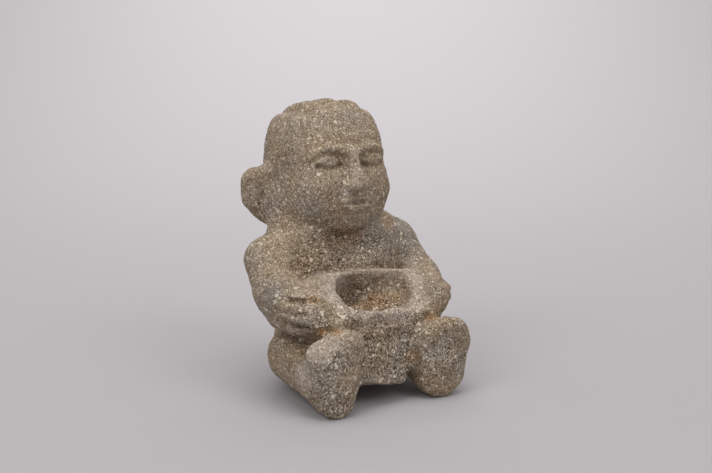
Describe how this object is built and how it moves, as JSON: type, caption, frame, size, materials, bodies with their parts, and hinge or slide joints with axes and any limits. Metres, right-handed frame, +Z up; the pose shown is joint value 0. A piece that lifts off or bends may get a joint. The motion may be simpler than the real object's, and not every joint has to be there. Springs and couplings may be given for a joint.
{
  "type": "seated stone figure with a bowl",
  "caption": "Small carved stone figure, seated with legs stretched forward, holding a bowl in its lap with both hands; stands by its own weight.",
  "frame": {"origin": "centre of the figure's box at the height of the surface it stands on", "axes": "+Z up, the figure faces -Y, its left side is +X"},
  "size_m": [0.1085, 0.1086, 0.1528],
  "materials": {
    "stone": "rough, worn, pecked grey-brown andesite with light specks and dark pits"
  },
  "bodies": {
    "root": {"stone_figure": "stone"}
  },
  "joints": []
}
